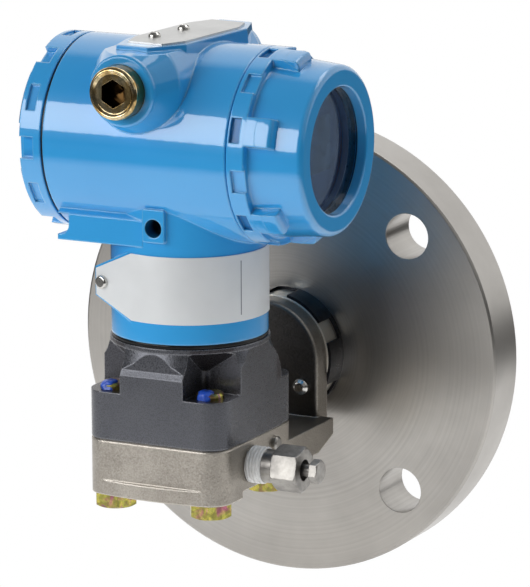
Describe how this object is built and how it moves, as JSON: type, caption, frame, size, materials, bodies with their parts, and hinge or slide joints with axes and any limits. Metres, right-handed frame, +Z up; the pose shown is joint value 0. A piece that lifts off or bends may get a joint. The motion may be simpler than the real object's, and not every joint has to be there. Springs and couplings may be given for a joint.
{
  "type": "pressure transmitter",
  "caption": "Flange-mounted process pressure transmitter: a two-compartment electronics housing on a bolted sensor module, with a window cover, a blind cover and a vent valve.",
  "frame": {"origin": "centre of the mounting flange's gasket face", "axes": "+Y out of the gasket face and away from the transmitter, +Z up along the housing's neck, +X towards the window cover"},
  "size_m": [0.1906, 0.1649, 0.243],
  "materials": {
    "turned_stainless": "satin turned stainless steel",
    "hub_stainless": "satin stainless steel",
    "band_stainless": "dark stainless steel sleeve",
    "foil": "bright foil",
    "cast_stainless": "blasted stainless casting, grainy",
    "cast_module": "dark grey stainless casting, grainy",
    "bright_screw": "bright steel",
    "dark_screw": "black steel",
    "plated_bolt": "yellow zinc plating with faint green and pink",
    "blue_lacquer": "blue marking lacquer",
    "white_seal": "white fluoropolymer",
    "white_tape": "white thread tape",
    "vent_stainless": "machined stainless steel",
    "black_rubber": "black elastomer",
    "blue_paint": "gloss blue paint on cast aluminium",
    "zinc_plug": "yellow zinc plating, uneven",
    "label_metal": "pale satin metal",
    "button_plastic": "black plastic",
    "window": "clear toughened glass",
    "display_window": "grey-green display pane",
    "dark_aluminium": "plain aluminium",
    "board_green": "green lacquered board",
    "black_plastic": "black moulded plastic"
  },
  "bodies": {
    "process_side": {"mounting_flange": "turned_stainless", "process_diaphragm": "foil", "process_hub": "hub_stainless", "hub_band": "band_stainless", "process_flange": "cast_stainless", "hub_screws": "bright_screw", "sensor_module": "cast_module", "isolator_diaphragms": "foil", "process_gaskets": "white_seal", "flange_bolts": "plated_bolt", "bolt_marks": "blue_lacquer", "vent_body": "vent_stainless", "vent_tape": "white_tape", "side_plug": "vent_stainless", "neck_seal": "black_rubber"},
    "housing_body": {"housing": "blue_paint", "conduit_plug": "zinc_plug", "neck_label": "label_metal", "neck_label_screw": "bright_screw", "nameplate": "label_metal", "nameplate_screws": "bright_screw", "terminal_block": "black_plastic", "terminal_screws": "bright_screw", "ground_screw": "bright_screw", "electronics_board": "board_green", "board_screws": "bright_screw", "display_module": "black_plastic", "display_glass": "display_window", "rotation_set_screw": "dark_screw"},
    "zero_key": {"zero_button": "button_plastic"},
    "span_key": {"span_button": "button_plastic"},
    "meter_seal": {"meter_cover_seal": "black_rubber"},
    "meter_cover_body": {"meter_cover": "blue_paint", "window_glass": "window", "window_gasket": "black_rubber", "window_retainer": "dark_aluminium"},
    "terminal_seal": {"terminal_cover_seal": "black_rubber"},
    "terminal_cover_body": {"terminal_cover": "blue_paint"},
    "vent_ball_body": {"vent_ball": "vent_stainless"},
    "vent_stem_body": {"vent_stem": "vent_stainless"}
  },
  "joints": [
    {"name": "housing_turn", "type": "hinge", "parent": "process_side", "child": "housing_body", "pos_m": [0, -0.11, 0], "axis": [0, 0, 1], "range_deg": [-180, 180]},
    {"name": "meter_cover_travel", "type": "slide", "parent": "housing_body", "child": "meter_seal", "axis": [1, 0, 0], "range_m": [0, 0.0102]},
    {"name": "meter_cover_turn", "type": "hinge", "parent": "meter_seal", "child": "meter_cover_body", "pos_m": [0, -0.11, 0.1036], "axis": [1, 0, 0], "range_deg": [0, 1800]},
    {"name": "terminal_cover_travel", "type": "slide", "parent": "housing_body", "child": "terminal_seal", "axis": [-1, 0, 0], "range_m": [0, 0.0102]},
    {"name": "terminal_cover_turn", "type": "hinge", "parent": "terminal_seal", "child": "terminal_cover_body", "pos_m": [0, -0.11, 0.1036], "axis": [-1, 0, 0], "range_deg": [0, 1800]},
    {"name": "zero_press", "type": "slide", "parent": "housing_body", "child": "zero_key", "axis": [0, 0, -1], "range_m": [0, 0.0018], "stiffness_N_per_m": 300},
    {"name": "span_press", "type": "slide", "parent": "housing_body", "child": "span_key", "axis": [0, 0, -1], "range_m": [0, 0.0018], "stiffness_N_per_m": 300},
    {"name": "vent_ball_travel", "type": "slide", "parent": "process_side", "child": "vent_ball_body", "axis": [1, 0, 0], "range_m": [0, 0.0018]},
    {"name": "vent_stem_turn", "type": "hinge", "parent": "vent_ball_body", "child": "vent_stem_body", "pos_m": [0, -0.1167, -0.0245], "axis": [1, 0, 0], "range_deg": [0, 720]}
  ],
  "couplings": [
    {"joint": "meter_cover_travel", "follows": "meter_cover_turn", "m_per_rad": 0.00031831},
    {"joint": "terminal_cover_travel", "follows": "terminal_cover_turn", "m_per_rad": 0.00031831},
    {"joint": "vent_stem_turn", "follows": "vent_ball_travel", "rad_per_m": 6981}
  ]
}
